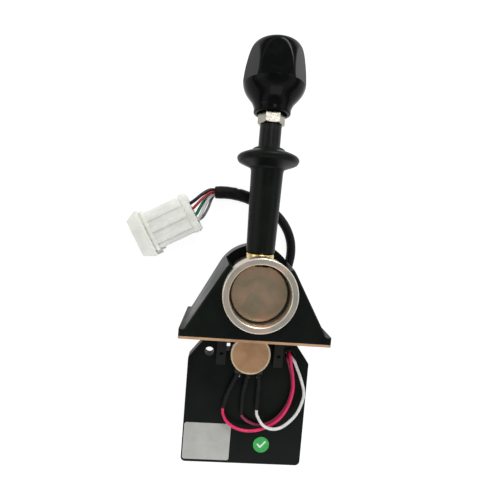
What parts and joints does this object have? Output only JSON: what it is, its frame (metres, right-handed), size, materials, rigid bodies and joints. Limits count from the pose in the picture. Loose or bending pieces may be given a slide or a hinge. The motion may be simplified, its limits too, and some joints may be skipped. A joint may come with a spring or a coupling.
{
  "type": "industrial joystick",
  "caption": "Single-axis industrial joystick with a tilting lever, lift-to-unlock collar, flanged tower, geared potentiometer, control module, and cable ending in a connector.",
  "frame": {"origin": "centre of the length and width at the surface that the object lies on, back down", "axes": "+X across the lever, +Y along the lever towards the knob, +Z along the pivot axis out of the hub face"},
  "size_m": [0.1322, 0.2698, 0.0574],
  "materials": {
    "tower_black": "moulded black, fine satin grain",
    "gasket_tan": "tan cork rubber, matte",
    "insert_brass": "knurled brass",
    "ring_aluminium": "turned, satin",
    "bush_polymer": "plain bearing polymer",
    "bush_bronze": "sintered bronze",
    "screw_steel": "zinc plated",
    "drum_black": "black anodised",
    "hub_nickel": "turned and nickel plated, soft brushing",
    "shaft_steel": "ground",
    "spring_steel": "spring wire",
    "gear_steel": "machined",
    "collar_brass": "turned brass",
    "tube_black": "black, satin",
    "sleeve_black": "moulded black, satin",
    "nut_nickel": "nickel plated",
    "knob_black": "moulded phenolic, glossy",
    "panel_black": "black, fine satin grain",
    "case_black": "moulded black",
    "board_green": "solder mask",
    "pot_phenolic": "moulded phenolic",
    "pot_copper": "pressed cover, satin copper tone",
    "lug_tin": "tinned",
    "pinion_brass": "cut brass",
    "shrink_black": "shrink tube, satin",
    "wire_pink": "wire insulation",
    "wire_dull_pink": "wire insulation",
    "wire_white": "wire insulation",
    "rubber_black": "moulded rubber",
    "cable_black": "woven sleeve",
    "harness_mixed": "wire insulation",
    "nylon_white": "natural nylon, translucent",
    "pin_brass": "plated terminals",
    "label_white": "bare label",
    "sticker_green": "bare sticker"
  },
  "bodies": {
    "base": {"tower_housing": "tower_black", "base_gasket": "gasket_tan", "mounting_inserts": "insert_brass", "bearing_ring": "ring_aluminium", "front_bush": "bush_polymer", "rear_bush": "bush_bronze", "rear_cover": "tower_black", "cover_screws": "screw_steel", "centering_spring": "spring_steel", "mounting_panel": "panel_black", "electronics_case": "case_black", "circuit_board": "board_green", "case_screws": "screw_steel", "leg_screws": "screw_steel", "pot_body": "pot_phenolic", "pot_cover": "pot_copper", "pot_nut": "nut_nickel", "pot_terminals": "lug_tin", "wire_sleeves": "shrink_black", "pot_wire_pink": "wire_pink", "pot_wire_red": "wire_dull_pink", "pot_wire_white": "wire_white", "wire_grommet": "rubber_black", "strain_relief": "rubber_black", "main_cable": "cable_black", "harness_wires": "harness_mixed", "connector_housing": "nylon_white", "connector_pins": "pin_brass", "blank_label": "label_white", "check_sticker": "sticker_green"},
    "lever": {"hub_drum": "drum_black", "hub_cap": "hub_nickel", "pivot_shaft": "shaft_steel", "retaining_clip": "spring_steel", "sector_gear": "gear_steel", "brass_collar": "collar_brass", "lever_rod": "shaft_steel", "lever_tube": "tube_black", "lock_spring": "spring_steel", "jam_nut": "nut_nickel", "knob": "knob_black"},
    "collar": {"lock_sleeve": "sleeve_black"},
    "pot_rotor": {"pot_shaft": "shaft_steel", "pinion": "pinion_brass"}
  },
  "joints": [
    {"name": "lever_tilt", "type": "hinge", "parent": "base", "child": "lever", "pos_m": [0, -0.0136, 0.037], "axis": [0, 0, 1], "range_deg": [-25, 25], "stiffness_Nm_per_rad": 1.5, "deforming": ["centering_spring"]},
    {"name": "collar_lift", "type": "slide", "parent": "lever", "child": "collar", "axis": [0, 1, 0], "range_m": [0, 0.006], "stiffness_N_per_m": 400, "springref_m": -0.01, "deforming": ["lock_spring"]},
    {"name": "pot_spin", "type": "hinge", "parent": "base", "child": "pot_rotor", "pos_m": [0, -0.0571, 0.014], "axis": [0, 0, 1], "range_deg": [-96, 96]}
  ],
  "couplings": [
    {"joint": "pot_spin", "follows": "lever_tilt", "ratio": -3.8333}
  ]
}
